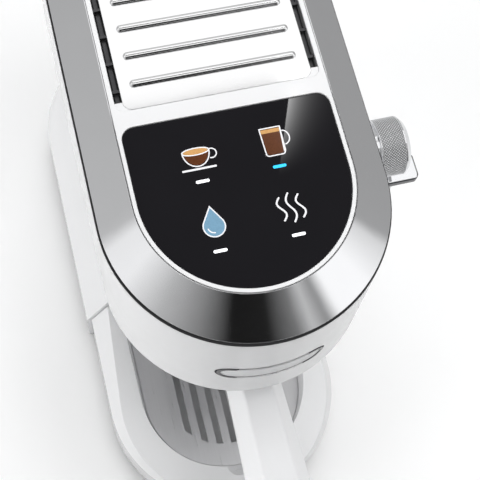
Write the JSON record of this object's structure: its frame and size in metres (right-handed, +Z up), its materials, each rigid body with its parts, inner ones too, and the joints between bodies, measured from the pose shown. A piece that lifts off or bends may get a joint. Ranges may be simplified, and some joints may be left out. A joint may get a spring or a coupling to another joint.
{
  "type": "coffee machine",
  "caption": "Slim upright pump coffee machine with a touch panel, cup-warming plate, bayonet filter holder, steam wand, drip tray and rear water tank.",
  "frame": {"origin": "middle of the base's footprint, at floor level", "axes": "+Z up, -Y to the front where the handle points, +X to the side of the steam knob and wand"},
  "size_m": [0.174, 0.4015, 0.3062],
  "materials": {
    "white_shell": "smooth glossy moulding",
    "grey_plastic": "matt moulding",
    "black_plastic": "matt moulding",
    "clear_plastic": "clear, faintly smoked",
    "dark_glass": "opaque black-backed glass",
    "chrome": "bright plated",
    "steel": "fine brushed",
    "aluminium": "satin casting",
    "brass": "machined",
    "rubber": "matt",
    "silicone": "translucent satin",
    "circuit_board": "lacquered"
  },
  "bodies": {
    "machine": {"base_housing": "white_shell", "column_shell": "white_shell", "head_shell": "white_shell", "top_frame": "white_shell", "base_plate": "grey_plastic", "tank_seat": "grey_plastic", "flow_meter": "grey_plastic", "pump_bracket": "grey_plastic", "switch_bezel": "black_plastic", "cord_gland": "black_plastic", "pump": "black_plastic", "light_guides": "clear_plastic", "panel_glass": "dark_glass", "chrome_trim": "chrome", "badge_plate": "chrome", "wand_hub": "chrome", "cup_plate": "chrome", "shower_screen": "steel", "shower_screw": "steel", "base_screws": "steel", "wand_pin": "steel", "knob_collar": "steel", "group_head": "aluminium", "thermoblock": "aluminium", "steam_valve": "brass", "rubber_feet": "rubber", "group_gasket": "rubber", "pump_mounts": "rubber", "trim_seal": "rubber", "suction_hose": "silicone", "pump_hose": "silicone", "pressure_hose": "silicone", "steam_pipe": "silicone", "wand_pipe": "silicone", "control_board": "circuit_board", "power_board": "circuit_board"},
    "steam_knob": {"steam_knob": "chrome", "knob_spindle": "steel"},
    "steam_wand": {"wand_tube": "steel", "wand_grip": "black_plastic", "wand_tip": "steel"},
    "filter_holder": {"portafilter_body": "aluminium", "filter_basket": "steel", "portafilter_spout": "grey_plastic", "handle_collar": "chrome", "portafilter_handle": "white_shell"},
    "drip_tray": {"drip_tray": "white_shell"},
    "drip_grid": {"drip_grid": "steel"},
    "drip_float": {"drip_float": "black_plastic"},
    "water_tank": {"water_tank": "clear_plastic", "tank_valve": "grey_plastic", "tank_hinge_pin": "steel"},
    "tank_lid": {"tank_lid": "white_shell"},
    "power_rocker": {"power_rocker": "black_plastic"}
  },
  "joints": [
    {"name": "steam_knob_turn", "type": "hinge", "parent": "machine", "child": "steam_knob", "pos_m": [0.0645, -0.04, 0.259], "axis": [1, 0, 0], "range_deg": [0, 270]},
    {"name": "steam_wand_swing", "type": "hinge", "parent": "machine", "child": "steam_wand", "pos_m": [0.079, -0.044, 0.228], "axis": [0, -1, 0], "range_deg": [0, 50]},
    {"name": "filter_holder_lock", "type": "hinge", "parent": "machine", "child": "filter_holder", "pos_m": [0, -0.069, 0.23], "axis": [0, 0, 1], "range_deg": [-45, 0]},
    {"name": "drip_tray_slide", "type": "slide", "parent": "machine", "child": "drip_tray", "axis": [0, -1, 0], "range_m": [0, 0.12]},
    {"name": "drip_grid_lift", "type": "slide", "parent": "drip_tray", "child": "drip_grid", "axis": [0, 0, 1], "range_m": [0, 0.04]},
    {"name": "drip_float_rise", "type": "slide", "parent": "drip_tray", "child": "drip_float", "axis": [0, 0, 1], "range_m": [0, 0.01]},
    {"name": "water_tank_lift", "type": "slide", "parent": "machine", "child": "water_tank", "axis": [0, 0, 1], "range_m": [0, 0.15]},
    {"name": "tank_lid_hinge", "type": "hinge", "parent": "water_tank", "child": "tank_lid", "pos_m": [0, 0.154, 0.296], "axis": [-1, 0, 0], "range_deg": [0, 95]},
    {"name": "power_rocker_tilt", "type": "hinge", "parent": "machine", "child": "power_rocker", "pos_m": [0.0699, 0.055, 0.024], "axis": [0, 0, 1], "range_deg": [0, 16]}
  ]
}
